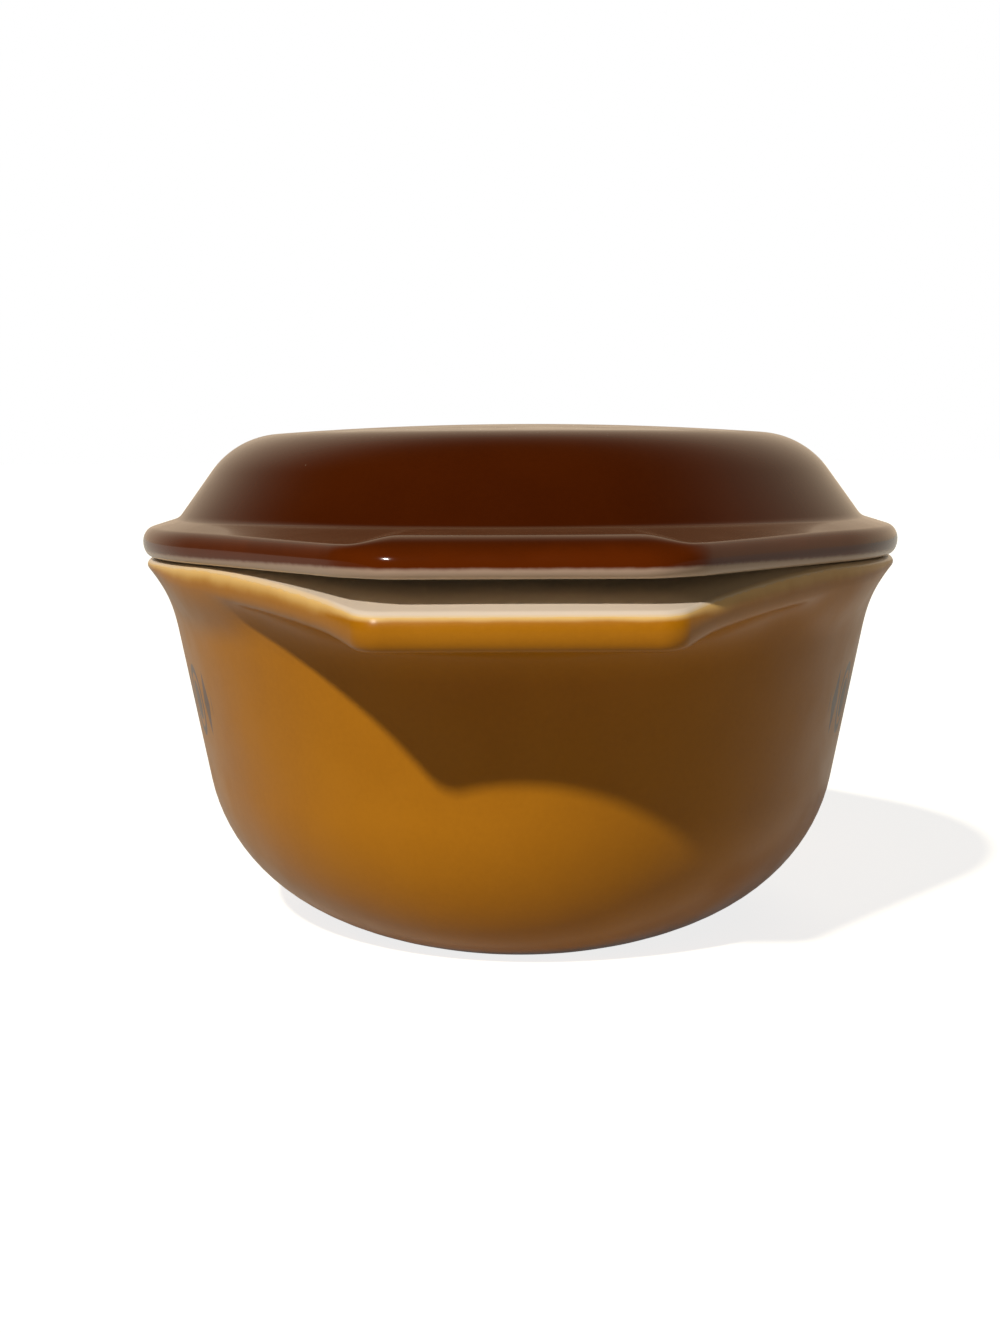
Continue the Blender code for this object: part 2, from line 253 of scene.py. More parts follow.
def first_row(parts, wanted):
    """Row of a chain on which one of its parts starts: the steps of all parts before it, added up."""
    place = [part is wanted for part in parts].index(True)
    return sum(len(part) - 1 for part in parts[:place])


def nose_rings(edge, waist, above, below, turns):
    """Rounded edge: a quarter of an upright ellipse above its widest line, the waist, and another below.

    Each quarter is a pair of its depth and its height. At a turn, the radius is the edge's less the depth
    times 1 - cosine, and the height is the waist's plus the quarter's height times the sine.
    """
    depth = np.where(turns > 0, above[0], below[0])
    height = np.where(turns > 0, above[1], below[1])
    return rings(edge - depth * (1 - np.cos(turns)), waist + height * np.sin(turns))


def turn_steps(first, stop, last, steps):
    """Even turns from the first to a stop, and on from the stop to the last, at each station."""
    share = np.linspace(0, 1, steps + 1)[:, None]
    return np.concatenate([first + (stop - first) * share, (stop + (last - stop) * share)[1:]])


# %% Skin of a chain of rings
def skin(name, rim, rows):
    """Closed surface: quads between neighbouring rings, and a fan to a pole at the first and last ring."""
    count = rows.shape[2]
    points = np.stack([rows[:, 0] * rim.cos, rows[:, 0] * rim.sin, rows[:, 1]], axis=-1).reshape(-1, 3)
    poles = np.array([[0, 0, rows[0, 1].mean()], [0, 0, rows[-1, 1].mean()]])
    here = np.arange(len(points)).reshape(len(rows), count)
    beside = np.roll(here, -1, axis=1)
    quads = np.stack([here[:-1], here[1:], beside[1:], beside[:-1]], axis=-1).reshape(-1, 4)
    first_fan = np.stack([np.full(count, len(points)), here[0], beside[0]], axis=-1)
    last_fan = np.stack([np.full(count, len(points) + 1), beside[-1], here[-1]], axis=-1)

    mesh = bpy.data.meshes.new(name)
    faces = quads.tolist() + first_fan.tolist() + last_fan.tolist()
    mesh.from_pydata(np.concatenate([points, poles]).tolist(), [], faces)
    mesh.shade_smooth()
    piece = bpy.data.objects.new(name, mesh)
    bpy.context.scene.collection.objects.link(piece)
    print(name, "has", len(rows), "rings,", len(faces), "faces")
    return piece


def keep_values(piece, name, values, at_poles):
    """Store one number for each vertex under a name that a material can read."""
    attribute = piece.data.attributes.new(name, "FLOAT", "POINT")
    attribute.data.foreach_set("value", np.append(values, at_poles).astype(np.float32))


def travelled(rows):
    """Distance along the section from its first ring: the running total of the steps between rings."""
    steps = np.diff(rows, axis=0)
    lengths = np.hypot(steps[:, 0], steps[:, 1])
    return np.concatenate([np.zeros((1, rows.shape[2])), np.cumsum(lengths, axis=0)])


# %% [markdown]
# ## The dish
#
# The dish is about 5 mm of glass all over: a flat floor, a wide rounded corner, walls that lean out, and a
# mouth that flares to a narrow flat seat for the lid. Outside the seat the brim falls to a rounded lip, and
# at each end the lip grows into a tab that is thicker and sits lower. Underneath, a foot ring stands on the
# table. Such a dish could be a box with a Solidify modifier, but its wall isn't equally thick at the lip.
# Here one chain of rings goes from the middle of the floor, up over the lip and down to the middle of the
# underside, so the glass is a single closed skin with its real thickness.

# %% Sizes of the dish
DISH_HEIGHT = 81 * MM
GLASS = 5.2 * MM
LIP_OVERHANG = 3.4 * MM         # lip beyond the line of the wall, at the level of the rim
SIDE_DRAFT = math.radians(11.7)
END_TAPER = 0.8                 # how much the ends lean in, for each unit that the sides lean in
BASE_RADIUS = 38 * MM
FOOT_WIDTH, FOOT_BEVEL, FOOT_RISE, FOOT_ROUND = 9 * MM, 3 * MM, 0.8 * MM, 1 * MM
SEAT_INSET, SEAT_WIDTH, SEAT_ROUND = 4.8 * MM, 2 * MM, 0.7 * MM
MOUTH_DEPTH = 20 * MM
MOUTH_FLARE = math.radians(35)
LIP_FALL, TAB_FALL = 0.1 * MM, 5.5 * MM
FALL_BEND = 1.66                # power by which the fall grows on the way to a tab's front
LIP_EDGE, SHOULDER_EDGE, TAB_EDGE = 3.0 * MM, 6.6 * MM, 7.8 * MM
SHOULDER_GROWTH, TAB_GROWTH = 40 * MM, 14 * MM
LIP_NOSE, TAB_NOSE = 2.0 * MM, 2.6 * MM
LIP_FLARE, TAB_FLARE = 17 * MM, 21 * MM
FLARE_PULL = 0.4                # pull of the curve under the lip, as a share of its span
LIP_TUCK, TAB_TUCK = math.radians(30), math.radians(85)
TUCK_GROWTH = 25 * MM           # length over which the edge turns further under
LIP_PAINT, TAB_PAINT = 0.9 * MM, 1.2 * MM                     # bare glass at the top of the edge
FOOT_PAINT = math.radians(80)                                 # where the paint stops round the base corner


def wall_inset(height):
    """How far the straight line of the wall lies inside the lip: overhang plus depth times the draft."""
    return LIP_OVERHANG + (DISH_HEIGHT - height) * math.tan(SIDE_DRAFT)


FOOT_INSET = wall_inset(0) + BASE_RADIUS * math.tan((math.pi / 2 - SIDE_DRAFT) / 2)


def wall_oval(inset, depth):
    """Ellipse of the wall at an inset and at a depth into the glass. The ends lean in less than the sides."""
    return dish_rim.oval(inset + depth, END_TAPER * inset + depth)


def base_corner(turns, depth):
    """Rounded corner: a circle rolled between the wall and the ground, at a depth into the glass."""
    turns = np.asarray(turns)[:, None]
    inset = FOOT_INSET - BASE_RADIUS * np.cos(turns)
    height = BASE_RADIUS - (BASE_RADIUS - depth) * np.sin(turns)
    return rings(wall_oval(inset, depth * np.cos(turns)), height)


def radius_shares(count):
    """Even shares of a radius, from one step out of the middle to the whole."""
    return (np.arange(1, count + 1) / count)[:, None]


def disc(rim_ring, count):
    """Flat disc inside a ring: copies of it, each a larger share of its radius."""
    heights = np.broadcast_to(rim_ring[1], (count, rim_ring.shape[1]))
    return rings(rim_ring[0] * radius_shares(count), heights)


print("foot: outer edge lies", round(FOOT_INSET / MM, 1), "mm inside the lip at the sides")

# %% Inside of the dish
ROUND_STEPS, EDGE_STEPS, CURVE_STEPS, CORNER_RINGS = 5, 9, 14, 18
SEAT_STEPS, SHORT_STEPS, RUN_STEPS, WALL_STEPS = 2, 3, 8, 10
FLOOR_RINGS, UNDERSIDE_RINGS = 5, 3

corner_turns = np.linspace(math.pi / 2, SIDE_DRAFT, CORNER_RINGS)
inside_corner = base_corner(corner_turns, GLASS)
floor = disc(inside_corner[0], FLOOR_RINGS)

lean = np.array([[math.sin(SIDE_DRAFT)], [math.cos(SIDE_DRAFT)]])
flare = np.array([[math.sin(MOUTH_FLARE)], [math.cos(MOUTH_FLARE)]])
mouth_height = DISH_HEIGHT - MOUTH_DEPTH
outside_level = mouth_height - GLASS * math.sin(SIDE_DRAFT)
mouth_start = rings(wall_oval(wall_inset(outside_level), GLASS * math.cos(SIDE_DRAFT)), mouth_height)
seat_inner = rings(dish_rim.inset(SEAT_INSET), DISH_HEIGHT)
seat_outer = rings(dish_rim.inset(SEAT_INSET - SEAT_WIDTH), DISH_HEIGHT)
mouth_end = seat_inner - SEAT_ROUND * flare
mouth_pull = MOUTH_DEPTH / 3
mouth = sweep(
    mouth_start, mouth_start + mouth_pull * lean, mouth_end - mouth_pull * flare, mouth_end, CURVE_STEPS)
print("inside: the floor lies", round(float(floor[0, 1].mean()) / MM, 1), "mm above the table")

# %% Lip and tabs of the dish
tab = dish_rim.tab
shoulder = ease(dish_rim.share(dish_rim.touch_y - SHOULDER_GROWTH, dish_rim.touch_y))
front = ease(dish_rim.share(TAB_Y - TAB_GROWTH, TAB_Y))
nose = LIP_NOSE + (TAB_NOSE - LIP_NOSE) * tab
half_edge = (LIP_EDGE + (SHOULDER_EDGE - LIP_EDGE) * shoulder + (TAB_EDGE - SHOULDER_EDGE) * front) / 2
fall = LIP_FALL + TAB_FALL * dish_rim.share(dish_rim.touch_y, TAB_Y) ** FALL_BEND
brim_slope = fall / (dish_rim.edge - nose - seat_outer[0])
edge_first = np.arctan2(half_edge, nose * brim_slope)
edge_paint = np.arcsin(1 - (LIP_PAINT + (TAB_PAINT - LIP_PAINT) * front) / half_edge)
tucked = ease(dish_rim.share(dish_rim.touch_y, dish_rim.touch_y + TUCK_GROWTH))
edge_last = -(LIP_TUCK + (TAB_TUCK - LIP_TUCK) * tucked)
edge_turns = turn_steps(edge_first, edge_paint, edge_last, EDGE_STEPS)
quarter = (nose, half_edge)
lip = nose_rings(dish_rim.edge, DISH_HEIGHT - fall - half_edge, quarter, quarter, edge_turns)

seat_entry = towards(seat_outer, seat_inner, SEAT_ROUND)
seat_leave = towards(seat_outer, lip[0], SEAT_ROUND)
seat_start = towards(seat_inner, seat_outer, SEAT_ROUND)
edge_heights = [round(2 * float(half) / MM, 1) for half in (half_edge.min(), half_edge.max())]
print("lip: edge at its thinnest and thickest in mm:", edge_heights)

# %% Outside of the dish
heading = np.stack([nose * np.sin(edge_last), -half_edge * np.cos(edge_last)])
heading = heading / np.hypot(heading[0], heading[1])
flare_height = DISH_HEIGHT - (LIP_FLARE + (TAB_FLARE - LIP_FLARE) * tab)
flare_end = rings(wall_oval(wall_inset(flare_height), 0), flare_height)
flare_pull = FLARE_PULL * np.hypot(*(flare_end - lip[-1]))
under_lip = sweep(
    lip[-1], lip[-1] + flare_pull * heading, flare_end + flare_pull * lean, flare_end, CURVE_STEPS)

outside_turns = np.append(np.linspace(SIDE_DRAFT, FOOT_PAINT, CORNER_RINGS), math.pi / 2)
outside_corner = base_corner(outside_turns, 0)
foot_inner = rings(wall_oval(FOOT_INSET, FOOT_WIDTH), 0.0)
recess = rings(wall_oval(FOOT_INSET, FOOT_WIDTH + FOOT_BEVEL), FOOT_RISE)
half_recess = recess * [[0.5], [1]]
foot_corners = [outside_corner[-1], foot_inner, recess, half_recess]
foot = rounded_chain(foot_corners, FOOT_ROUND, SHORT_STEPS, ROUND_STEPS)
underside = disc(half_recess, UNDERSIDE_RINGS)[::-1]
print("foot:", len(foot), "rings, wall and flare:", len(under_lip) + len(outside_corner), "rings")

# %% Join the dish
dish_parts = [
    floor, inside_corner, run(inside_corner[-1], mouth_start, RUN_STEPS), mouth,
    round_off(mouth_end, seat_inner, seat_start, ROUND_STEPS), run(seat_start, seat_entry, SEAT_STEPS),
    round_off(seat_entry, seat_outer, seat_leave, ROUND_STEPS), run(seat_leave, lip[0], RUN_STEPS),
    lip, under_lip, run(under_lip[-1], outside_corner[0], WALL_STEPS), outside_corner, foot, underside,
]
dish_rows = chain(dish_parts)
dish = skin("enamelled_dish", dish_rim, dish_rows)
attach(dish, "dish")
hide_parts("dish")

# %% [markdown]
# ## Where the spray reached
#
# The spray reached from a line on the lip down to the foot. A painted texture would need an image. Instead,
# each vertex keeps its distance inside the painted area, and a material can turn that into a paint edge as
# sharp, as ragged or as thin as the real one, however coarse the mesh is. A second number, the distance
# along the wall from the middle of the nearest long side, is kept for the printed band.

# %% Paint and print distances of the dish
BAND_HEIGHT = 50 * MM           # middle of the printed band above the table
BAND_STEPS = 400                # in which a quarter of the wall's oval is measured
SLANT_THINNING = 0.62           # how much more slowly the coat builds up on the slants beside a tab

dish_path = travelled(dish_rows)
paint_top = dish_path[first_row(dish_parts, lip) + EDGE_STEPS]
paint_foot = dish_path[first_row(dish_parts, outside_corner) + CORNER_RINGS - 1]
build_up = 1 - SLANT_THINNING * shoulder * (1 - front)
inside_paint = np.minimum((dish_path - paint_top) * build_up, paint_foot - dish_path)
keep_values(dish, "inside_paint", inside_paint, [inside_paint[0].min(), inside_paint[-1].min()])

band_angles = np.linspace(0, math.pi / 2, BAND_STEPS)
band_half_width = RIM_WIDTH / 2 - wall_inset(BAND_HEIGHT)
band_half_length = RIM_LENGTH / 2 - END_TAPER * wall_inset(BAND_HEIGHT)
band_radius = 1 / np.hypot(np.cos(band_angles) / band_half_width, np.sin(band_angles) / band_half_length)
band_points = np.stack([band_radius * np.cos(band_angles), band_radius * np.sin(band_angles)])
band_path = np.append(0, np.cumsum(np.hypot(*np.diff(band_points))))
along_side = np.interp(dish_rim.lean, band_angles, band_path)
keep_values(dish, "along_side", np.broadcast_to(along_side, inside_paint.shape), [band_path[-1]] * 2)
print("paint runs", round(float((paint_foot - paint_top).max()) / MM), "mm down the dish")

# %% [markdown]
# ## The lid
#
# The lid is a low dome with a flat flange round it, whose rounded edge overhangs the dish's lip. At each end
# the flange becomes a tab with a square-shouldered front, a little thicker than the flange beside it, and a
# finger fits between it and the dish's tab. Under the flange a ridge drops inside the dish's mouth and
# keeps the lid from sliding off. The crown is a shallow bowl turned over, so that the top isn't quite flat.
# It is one chain of rings again, from the top of the crown out round the edge and back in underneath,
# because a dome and a flange modelled apart would show a seam in the reflections.

# %% Sizes of the lid
SEAT_GAP = 0.3 * MM             # between the lid and the dish's seat
SEAT_HEIGHT = DISH_HEIGHT + SEAT_GAP
LID_GLASS = 4.8 * MM
LID_HEIGHT = 29.46 * MM
CROWN_RISE = 2.2 * MM
CROWN_EDGE = 27.4 * MM          # height of the level line from which the shoulder turns down
FLANGE_TOP, FLANGE_WIDTH, FLANGE_FILLET = 8.4 * MM, 8.2 * MM, 1.2 * MM
FLANGE_EDGE, FLANGE_NOSE, LOWER_NOSE = 6.6 * MM, 2.8 * MM, 2.0 * MM
SHOULDER_FALL = 0.45 * MM       # how much lower the flange's edge runs towards a tab
LID_TAB_TOP, LID_TAB_DROP = 7.9 * MM, 0.2 * MM
LID_TAB_NOSE, LID_TAB_WAIST = 8 * MM, 2 * MM
LID_TAB_STEP, LID_TAB_BLEND = 2.8 * MM, 9.2 * MM              # place and width of the step up to the tab
DOME_ANGLE = math.radians(54.5)
SHOULDER_RADIUS = 20 * MM
RIDGE_CLEARANCE, RIDGE_DEPTH, RIDGE_WIDTH, RIDGE_DRAFT = 2.4 * MM, 3 * MM, 3 * MM, 1.2 * MM
RIDGE_ROUND = 0.8 * MM
SEAT_MARGIN = 0.7 * MM
SIDE_STRIP, TAB_STRIP = 1.4 * MM, 1.9 * MM                    # bare glass along the lower edge
CROWN_RINGS, DOME_STEPS, FILLET_STEPS = 12, 5, 8

shoulder_inset = (FLANGE_WIDTH + (CROWN_EDGE - FLANGE_TOP) / math.tan(DOME_ANGLE)
                  + SHOULDER_RADIUS * math.tan(DOME_ANGLE / 2))


def dome(depth):
    """Crown and shoulder at a depth into the glass.

    The crown's height falls with the square of the share of its radius, down to the slope at which the
    shoulder takes over, and the shoulder is an arc from that slope to the slope of the wall.
    """
    radius = SHOULDER_RADIUS - depth
    start = np.arctan(2 * CROWN_RISE / lid_rim.inset(shoulder_inset))
    turns = start + (DOME_ANGLE - start) * np.linspace(0, 1, CORNER_RINGS)[:, None]
    height = CROWN_EDGE - SHOULDER_RADIUS + radius * np.cos(turns)
    shoulder = rings(lid_rim.inset(shoulder_inset - radius * np.sin(turns)), height)
    share = radius_shares(CROWN_RINGS)
    rim_radius, rim_height = shoulder[0]
    crown = rings(rim_radius * share, rim_height + (LID_HEIGHT - depth - rim_height) * (1 - share ** 2))
    return chain([crown, shoulder])


print("lid: the shoulder starts", round(shoulder_inset / MM, 1), "mm inside the flange's edge")

# %% Flange and tabs of the lid
tab = lid_rim.tab
from_step = LID_TAB_WIDTH / 2 - LID_TAB_STEP - np.abs(lid_rim.edge * lid_rim.cos)
tab_front = ease(from_step / LID_TAB_BLEND + 0.5) * (tab > 0)
beside_tab = FLANGE_EDGE - SHOULDER_FALL * tab
flange_top = beside_tab + (LID_TAB_TOP - beside_tab) * tab_front
flange_bottom = -LID_TAB_DROP * tab_front
waist = beside_tab / 2 * (1 - tab_front) + (LID_TAB_WAIST - LID_TAB_DROP) * tab_front
above = (FLANGE_NOSE + (LID_TAB_NOSE - FLANGE_NOSE) * tab_front, flange_top - waist)
below = (LOWER_NOSE, waist - flange_bottom)

outer_dome, inner_dome = dome(0), dome(LID_GLASS)
wall_foot = rings(lid_rim.inset(FLANGE_WIDTH), FLANGE_TOP)
flange_slope = np.maximum((FLANGE_TOP - flange_top) / (lid_rim.edge - above[0] - wall_foot[0]), 0)
edge_first = np.arctan2(above[1], above[0] * flange_slope)
paint_rise = flange_bottom + SIDE_STRIP + (TAB_STRIP - SIDE_STRIP) * tab - waist
edge_paint = np.arcsin(paint_rise / np.where(paint_rise > 0, above[1], below[1]))
edge_turns = turn_steps(edge_first, edge_paint, -math.pi / 2, EDGE_STEPS)
flange_edge = nose_rings(lid_rim.edge, waist, above, below, edge_turns)
fillet_start = towards(wall_foot, outer_dome[-1], FLANGE_FILLET)
fillet_end = towards(wall_foot, flange_edge[0], FLANGE_FILLET)
top_heights = [round(float(top) / MM, 1) for top in (flange_top.min(), flange_top.max())]
print("flange: top of the edge above the seat, lowest and highest in mm:", top_heights)

# %% Underside of the lid
seat_inset = LID_OVERHANG + SEAT_INSET - SEAT_WIDTH - SEAT_MARGIN
seat_radius = np.minimum(lid_rim.inset(seat_inset), lid_rim.edge - LOWER_NOSE - SEAT_MARGIN / 2)
ridge_outer = LID_OVERHANG + SEAT_INSET + RIDGE_CLEARANCE
ridge_inner = ridge_outer + RIDGE_DRAFT + RIDGE_WIDTH
wall_depth = LID_GLASS / math.sin(DOME_ANGLE)
ridge_join = FLANGE_TOP + (ridge_inner + RIDGE_DRAFT - FLANGE_WIDTH - wall_depth) * math.tan(DOME_ANGLE)
ridge = rounded_chain([
    rings(seat_radius, 0.0),
    rings(lid_rim.inset(ridge_outer), 0.0),
    rings(lid_rim.inset(ridge_outer + RIDGE_DRAFT), -RIDGE_DEPTH),
    rings(lid_rim.inset(ridge_inner), -RIDGE_DEPTH),
    rings(lid_rim.inset(ridge_inner + RIDGE_DRAFT), ridge_join),
    inner_dome[-1],
], RIDGE_ROUND, SHORT_STEPS, ROUND_STEPS)
print("ridge:", len(ridge), "rings, meets the dome", round(ridge_join / MM, 1), "mm above the seat")

# %% Join the lid
lid_parts = [
    outer_dome, run(outer_dome[-1], fillet_start, DOME_STEPS),
    round_off(fillet_start, wall_foot, fillet_end, FILLET_STEPS), run(fillet_end, flange_edge[0], RUN_STEPS),
    flange_edge, run(flange_edge[-1], ridge[0], SHORT_STEPS), ridge, inner_dome[::-1],
]
lid_rows = chain(lid_parts)
lid_rows[:, 1] += SEAT_HEIGHT
lid = skin("enamelled_lid", lid_rim, lid_rows)
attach(lid, "lid")
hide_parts("lid")

lid_path = travelled(lid_rows)
inside_paint = lid_path[first_row(lid_parts, flange_edge) + EDGE_STEPS] - lid_path
keep_values(lid, "inside_paint", inside_paint, [inside_paint[0].max(), inside_paint[-1].min()])

# %% [markdown]
# ## Writing materials as nodes
#
# A material is a small program drawn as boxes and wires. Wiring it in the editor is easiest to see, but a
# script is easier to repeat. A few helpers keep it short: each adds one box, feeds it numbers or other boxes,
# and gives back its output. Effects that both pieces share are node groups, built once and placed in each
# material with their own values.

# %% Helpers for nodes
def feed(tree, value, socket):
    """Connect an output to a socket, or set the socket to a plain value."""
    if isinstance(value, bpy.types.NodeSocket):
        tree.links.new(value, socket)
    else:
        socket.default_value = value


def calc(tree, operation, *values):
    """One step of arithmetic on numbers or outputs."""
    step = tree.nodes.new("ShaderNodeMath")
    step.operation = operation
    for place, value in enumerate(values):
        feed(tree, value, step.inputs[place])
    return step.outputs[0]


def ramp(tree, value, low, high):
    """Ease from 0 to 1 while a value goes from low to high."""
    step = tree.nodes.new("ShaderNodeMapRange")
    step.interpolation_type = "SMOOTHSTEP"
    feed(tree, value, step.inputs["Value"])
    feed(tree, low, step.inputs["From Min"])
    feed(tree, high, step.inputs["From Max"])
    return step.outputs["Result"]


def mix(tree, factor, first, second):
    """Blend of two colours."""
    step = tree.nodes.new("ShaderNodeMix")
    step.data_type = "RGBA"
    feed(tree, factor, step.inputs["Factor"])
    feed(tree, first, step.inputs["A"])
    feed(tree, second, step.inputs["B"])
    return step.outputs["Result"]


def noise(tree, place, scale, detail):
    """Cloudy pattern of values round one half; scale is in clouds to the metre."""
    step = tree.nodes.new("ShaderNodeTexNoise")
    feed(tree, place, step.inputs["Vector"])
    step.inputs["Scale"].default_value = scale
    step.inputs["Detail"].default_value = detail
    return step.outputs["Fac"]


def new_group(name, inputs, outputs):
    """Empty node group with named sockets. Gives the group, its inputs and its outputs."""
    group = bpy.data.node_groups.new(name, "ShaderNodeTree")
    for title, kind in inputs:
        group.interface.new_socket(title, in_out="INPUT", socket_type=kind)
    for title in outputs:
        group.interface.new_socket(title, in_out="OUTPUT", socket_type="NodeSocketFloat")
    return group, group.nodes.new("NodeGroupInput").outputs, group.nodes.new("NodeGroupOutput").inputs


def place_group(tree, group, **values):
    """Put a group into a material and feed its inputs by name. Gives its outputs."""
    step = tree.nodes.new("ShaderNodeGroup")
    step.node_tree = group
    for title, value in values.items():
        feed(tree, value, step.inputs[title])
    return step.outputs


# %% [markdown]
# ## Sprayed enamel
#
# Enamel is coloured glass powder, sprayed on and melted. Close up it shows where it came from: the edge of
# the coat wanders by a fraction of a millimetre, the coat is thin and lighter along that edge because white
# glass shines through, a mist of stray spray tints the glass just beyond it, its tone is faintly cloudy, and
# a few grains of dust were fired in. On the dish's tabs the thin edge's pale colour is partly a painted
# highlight, and on the lid the mist's tint spreads over the whole white strip as painted shade. Both pieces
# show all five, so they come from one group, which makes them from the place on the piece and the distance
# inside the painted area. A pattern is given as its scale, in clouds to the metre, and its detail.

# %% Group for sprayed enamel
FLOAT, VECTOR = "NodeSocketFloat", "NodeSocketVector"
RAGGED, DRIFTING, BROAD, FINE = (420, 4), (110, 3), (38, 4), (900, 2)
DRIFT_SHARE = 0.5               # of the thin coat's reach, by which that reach drifts
BROAD_SHARE = 0.75              # of the broad clouds in the tone, with fine ones for the rest
CLOUD_FROM, CLOUD_TO = 0.3, 0.7
GRAIN_SCALE = 230               # places for a grain of dust to the metre
GRAIN_RARITY = 0.94             # share of those places that stay empty
GRAIN_SIZE = 0.07               # of the largest grain, in steps from place to place

lengths = [(title, FLOAT) for title in ("Inside", "Wander", "Soft", "Thin", "Stray")]
sprayed, given, wanted = new_group(
    "sprayed enamel", [("Place", VECTOR)] + lengths, ["Cover", "Depth", "Mist", "Cloud", "Dust"])
ragged = calc(sprayed, "SUBTRACT", noise(sprayed, given["Place"], *RAGGED), 0.5)
inside = calc(sprayed, "ADD", given["Inside"], calc(sprayed, "MULTIPLY", ragged, given["Wander"]))
before_edge = calc(sprayed, "MULTIPLY", given["Soft"], -1.0)
feed(sprayed, ramp(sprayed, inside, before_edge, given["Soft"]), wanted["Cover"])

drifting = noise(sprayed, given["Place"], *DRIFTING)
drift = calc(sprayed, "MULTIPLY_ADD", drifting, DRIFT_SHARE, -DRIFT_SHARE / 2)
thinned = calc(sprayed, "ADD", given["Inside"], calc(sprayed, "MULTIPLY", drift, given["Thin"]))
feed(sprayed, ramp(sprayed, thinned, 0.0, given["Thin"]), wanted["Depth"])
stray = calc(sprayed, "MULTIPLY", given["Stray"], -1.0)
feed(sprayed, ramp(sprayed, given["Inside"], stray, 0.0), wanted["Mist"])

broad = calc(sprayed, "MULTIPLY", noise(sprayed, given["Place"], *BROAD), BROAD_SHARE)
fine = calc(sprayed, "MULTIPLY", noise(sprayed, given["Place"], *FINE), 1 - BROAD_SHARE)
clouds = calc(sprayed, "ADD", broad, fine)
feed(sprayed, ramp(sprayed, clouds, CLOUD_FROM, CLOUD_TO), wanted["Cloud"])

grains = sprayed.nodes.new("ShaderNodeTexVoronoi")
grains.inputs["Scale"].default_value = GRAIN_SCALE
feed(sprayed, given["Place"], grains.inputs["Vector"])
chance = sprayed.nodes.new("ShaderNodeSeparateColor")
feed(sprayed, grains.outputs["Color"], chance.inputs["Color"])
rare = calc(sprayed, "GREATER_THAN", chance.outputs["Red"], GRAIN_RARITY)
grain_size = calc(sprayed, "MULTIPLY", chance.outputs["Green"], GRAIN_SIZE)
grain = calc(sprayed, "LESS_THAN", grains.outputs["Distance"], grain_size)
feed(sprayed, calc(sprayed, "MULTIPLY", rare, grain), wanted["Dust"])
print("group:", sprayed.name, "with", len(sprayed.nodes), "nodes")

# %% [markdown]
# ## Surface of fired glass
#
# Pressed glass is never quite flat: it carries slow ripples from the mould and the fire. The enamel on top
# adds a fine orange peel, and use leaves faint smears. Modelling these would take millions of faces, so the
# group gives ripples and peel as a height for a Bump node, in metres, and smears as a value for roughness.

# %% Group for the fired surface
RIPPLE, PEEL = 0.05 * MM, 0.0016 * MM
RIPPLING, PEELING, SMEARING = (24, 1), (800, 1), (90, 5)
SMEAR_FROM, SMEAR_TO = 0.35, 0.7

fired, given, wanted = new_group(
    "fired surface", [("Place", VECTOR), ("Cover", FLOAT)], ["Height", "Smear"])
ripples = calc(fired, "MULTIPLY", noise(fired, given["Place"], *RIPPLING), RIPPLE)
peel = calc(fired, "MULTIPLY", noise(fired, given["Place"], *PEELING), PEEL)
peel = calc(fired, "MULTIPLY", peel, given["Cover"])
feed(fired, calc(fired, "ADD", ripples, peel), wanted["Height"])
smears = noise(fired, given["Place"], *SMEARING)
feed(fired, ramp(fired, smears, SMEAR_FROM, SMEAR_TO), wanted["Smear"])
print("group:", fired.name, "with", len(fired.nodes), "nodes")

# %% [markdown]
# ## A printed band
#
# Such dishes carry a small print in a dark slate blue on both long sides. This one has a plain geometric
# border of the kind called bead and reel: ovals and lozenges by turns. It is drawn with arithmetic on two
# distances, along the wall and up it, so it needs no image and stays sharp. An oval is where (x / a) squared
# plus (y / b) squared is below 1, and a lozenge where |x| / a plus |y| / b is.

# %% Arithmetic for the printed band
BEAD_STEP = 19 * MM
BEAD_SIZE, REEL_SIZE = (5.4 * MM, 8.2 * MM), (2.4 * MM, 7.4 * MM)
BAND_REACH = 52 * MM
RING_AT, RING_HALF, CORE = 0.86, 0.14, 0.56                   # in shares of a bead's size
PRINT_SOFTNESS = 0.05


def printed_band(tree, along, height):
    """Mask of the band: ringed beads at every step along the wall, and reels between them."""
    across = calc(tree, "ABSOLUTE", calc(tree, "SUBTRACT", height, BAND_HEIGHT))
    from_bead = calc(tree, "PINGPONG", along, BEAD_STEP / 2)
    from_reel = calc(tree, "SUBTRACT", BEAD_STEP / 2, from_bead)
    wide = calc(tree, "POWER", calc(tree, "DIVIDE", from_bead, BEAD_SIZE[0]), 2.0)
    tall = calc(tree, "POWER", calc(tree, "DIVIDE", across, BEAD_SIZE[1]), 2.0)
    oval = calc(tree, "SQRT", calc(tree, "ADD", wide, tall))
    off_ring = calc(tree, "ABSOLUTE", calc(tree, "SUBTRACT", oval, RING_AT))
    ring = calc(tree, "SUBTRACT", RING_HALF, off_ring)
    core = calc(tree, "SUBTRACT", CORE, oval)
    reel_x = calc(tree, "DIVIDE", from_reel, REEL_SIZE[0])
    reel_y = calc(tree, "DIVIDE", across, REEL_SIZE[1])
    reel = calc(tree, "SUBTRACT", 1.0, calc(tree, "ADD", reel_x, reel_y))
    shape = calc(tree, "MAXIMUM", calc(tree, "MAXIMUM", ring, core), reel)
    inked = ramp(tree, shape, 0.0, PRINT_SOFTNESS)
    return calc(tree, "MULTIPLY", inked, calc(tree, "LESS_THAN", along, BAND_REACH))


print("band:", round(2 * BAND_REACH / MM), "mm long, with a bead every", round(BEAD_STEP / MM), "mm")
